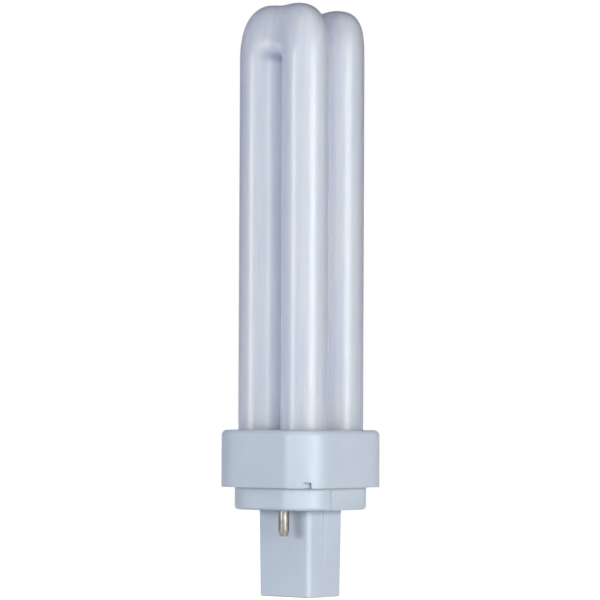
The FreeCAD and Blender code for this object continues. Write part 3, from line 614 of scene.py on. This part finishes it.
def press_seam(piece, x, y, side):
    """Sink the strip of faces along the outward side of the shank: the rolled pin's open seam."""
    half = PIN_RADIUS * math.sin(math.pi / PIN_SEGMENTS) + NEAR

    def on_seam(co):
        return (abs(co.x - x) < half and (co.y - y) * -side > SEAM_SIDE
                and BLOCK_BOTTOM - SEAM_LENGTH < co.z < BLOCK_BOTTOM)

    pick_points(piece, on_seam)
    bpy.ops.mesh.extrude_region_move(
        TRANSFORM_OT_translate={"value": (0.0, side * SEAM_DEPTH, 0.0)})


roll_pin("pin_front", 1)
roll_pin("pin_rear", -1)

# Camera, as the photograph was taken
CAMERA_AZIMUTH = math.radians(40.0)
CAMERA_DISTANCE = 0.900
CAMERA_HEIGHT = 0.050
AIM_HEIGHT = 0.0765
AIM_SHIFT = -0.33 * MM
LENS = 208.6
LEAN = math.radians(0.25)

# Level directions from the lamp: to the camera, away from it, and to the camera's right
TO_CAMERA = Vector((math.sin(CAMERA_AZIMUTH), -math.cos(CAMERA_AZIMUTH), 0.0))
AWAY = -TO_CAMERA
TO_RIGHT = Vector((math.cos(CAMERA_AZIMUTH), math.sin(CAMERA_AZIMUTH), 0.0))


def place_round(angle, distance, height):
    """Give a place round the lamp, with the angle counted to the right of the camera."""
    turn = CAMERA_AZIMUTH + math.radians(angle)
    return Vector((math.sin(turn) * distance, -math.cos(turn) * distance, height))


def add_camera():
    """Set the long lens low in front of the lamp, with the photograph's slight lean."""
    data = bpy.data.cameras.new("camera")
    data.lens = LENS
    data.sensor_width = 36.0
    data.clip_start = 0.01
    data.clip_end = 20.0
    camera = bpy.data.objects.new("camera", data)
    camera.location = place_round(0.0, CAMERA_DISTANCE, CAMERA_HEIGHT)
    aim = Vector((0.0, 0.0, AIM_HEIGHT)) + TO_RIGHT * AIM_SHIFT - camera.location
    camera.rotation_euler = (aim.to_track_quat("-Z", "Y").to_matrix()
                             @ Matrix.Rotation(LEAN, 3, "Z")).to_euler()
    scene.collection.objects.link(camera)
    scene.camera = camera


add_camera()

# Lamps: two tall soft boxes, one each side of the camera
BOX_DISTANCE = 0.8
BOX_TALL = 0.34
BOX_HEIGHT = 0.085
BOX_AIM_HEIGHT = 0.08


def add_soft_box(name, angle, width, power):
    """Stand a tall soft box beside the camera, facing the lamp."""
    data = bpy.data.lights.new(name, "AREA")
    data.shape = "RECTANGLE"
    data.size = width
    data.size_y = BOX_TALL
    data.energy = power
    light = bpy.data.objects.new(name, data)
    light.location = place_round(angle, BOX_DISTANCE, BOX_HEIGHT)
    aim = Vector((0.0, 0.0, BOX_AIM_HEIGHT)) - light.location
    light.rotation_euler = aim.to_track_quat("-Z", "Y").to_euler()
    scene.collection.objects.link(light)


add_soft_box("left_soft_box", angle=-56.0, width=0.26, power=2.1)
add_soft_box("right_soft_box", angle=35.0, width=0.41, power=4.7)

# Room. Each pair of bounds says where a part of it starts and where it is complete. The white
# backdrop has a strength of 1, and the fill is added to that for diffuse rays alone.
BACKDROP_BOUNDS = (0.86, 0.96)
BACKDROP_FILL = 2.4
SCREEN_BOUNDS = (0.3, 0.95)
SCREEN_TOP_BOUNDS = (0.08, 0.4)
SCREEN_STRENGTH = 5.7
DIM_BOUNDS = (-0.6, 0.6)
DIM_LEFT = 0.74
DIM_RIGHT = 0.28


def point_along(tree, sight, direction):
    """Give how far a line of sight points one way: 1 straight along it, -1 against it."""
    node = add_node(tree, "ShaderNodeVectorMath", {0: sight, 1: direction},
                    operation="DOT_PRODUCT")
    return node.outputs["Value"]


def add_room():
    """Give the plain room that lights and is mirrored, and the white backdrop.

    The camera, and any ray through clear glass, sees white all round. Other rays see the
    white backdrop behind the lamp, which lights matt surfaces more strongly than it looks, to
    lift the lamp's back. The rest of the room is cool and dim, most of all on the right, but
    for a low bright screen round the camera that shines on the limbs.
    """
    world = bpy.data.worlds.new("plain_room")
    scene.world = world
    world.use_nodes = True
    tree = world.node_tree
    tree.nodes.clear()
    sight = add_node(tree, "ShaderNodeTexCoord", {}).outputs["Generated"]
    level = add_node(tree, "ShaderNodeSeparateXYZ", {"Vector": sight}).outputs["Z"]
    forward = remap(tree, point_along(tree, sight, TO_CAMERA), 0.0, 1.0, *SCREEN_BOUNDS)
    low = remap(tree, level, 1.0, 0.0, *SCREEN_TOP_BOUNDS)
    screen = calculate(tree, "MULTIPLY", forward, low)
    dim = remap(tree, point_along(tree, sight, TO_RIGHT), DIM_LEFT, DIM_RIGHT, *DIM_BOUNDS)
    room = add_node(tree, "ShaderNodeBackground", {
        "Color": blend_colours(tree, screen, "#8a90a9", "#8f97a5", 0.0, 0.5),
        "Strength": remap(tree, screen, dim, SCREEN_STRENGTH)})
    backdrop = remap(tree, point_along(tree, sight, AWAY), 0.0, 1.0, *BACKDROP_BOUNDS)
    clear = seen_by(tree, "Is Camera Ray", "Is Transmission Ray")
    seen = calculate(tree, "MAXIMUM", clear, backdrop)
    diffuse = seen_by(tree, "Is Diffuse Ray")
    white = add_node(tree, "ShaderNodeBackground", {
        "Color": (1.0, 1.0, 1.0, 1.0),
        "Strength": calculate(tree, "MULTIPLY_ADD", diffuse, BACKDROP_FILL, 1.0)})
    both = mix_shaders(tree, seen, room.outputs[0], white.outputs[0])
    add_node(tree, "ShaderNodeOutputWorld", {"Surface": both})


add_room()

# Floor
FLOOR_SIZE = 12.0
FLOOR_GLOW = 0.93


def add_floor():
    """Lay the pale floor: white to the camera, to metal and to glass, but for a soft shadow."""
    bpy.ops.object.select_all(action="DESELECT")
    bpy.ops.mesh.primitive_plane_add(size=FLOOR_SIZE, location=(0.0, 0.0, 0.0))
    floor = bpy.context.object
    floor.name = "pale_floor"
    material = bpy.data.materials.new("pale_painted_board")
    material.use_nodes = True
    tree = material.node_tree
    tree.nodes.clear()
    lit = add_node(tree, "ShaderNodeBsdfDiffuse", {"Color": colour("#b4b6b8")})
    dark = add_node(tree, "ShaderNodeEmission", {"Color": (0.0, 0.0, 0.0, 1.0)})
    white = add_node(tree, "ShaderNodeEmission", {
        "Color": (FLOOR_GLOW, FLOOR_GLOW, FLOOR_GLOW, 1.0), "Strength": 1.0})
    seen = seen_by(tree, "Is Camera Ray", "Is Transmission Ray", "Is Glossy Ray")
    glow = mix_shaders(tree, seen, dark.outputs[0], white.outputs[0])
    both = add_node(tree, "ShaderNodeAddShader", {0: lit.outputs[0], 1: glow})
    add_node(tree, "ShaderNodeOutputMaterial", {"Surface": both.outputs[0]})
    give_material(floor, material)


add_floor()
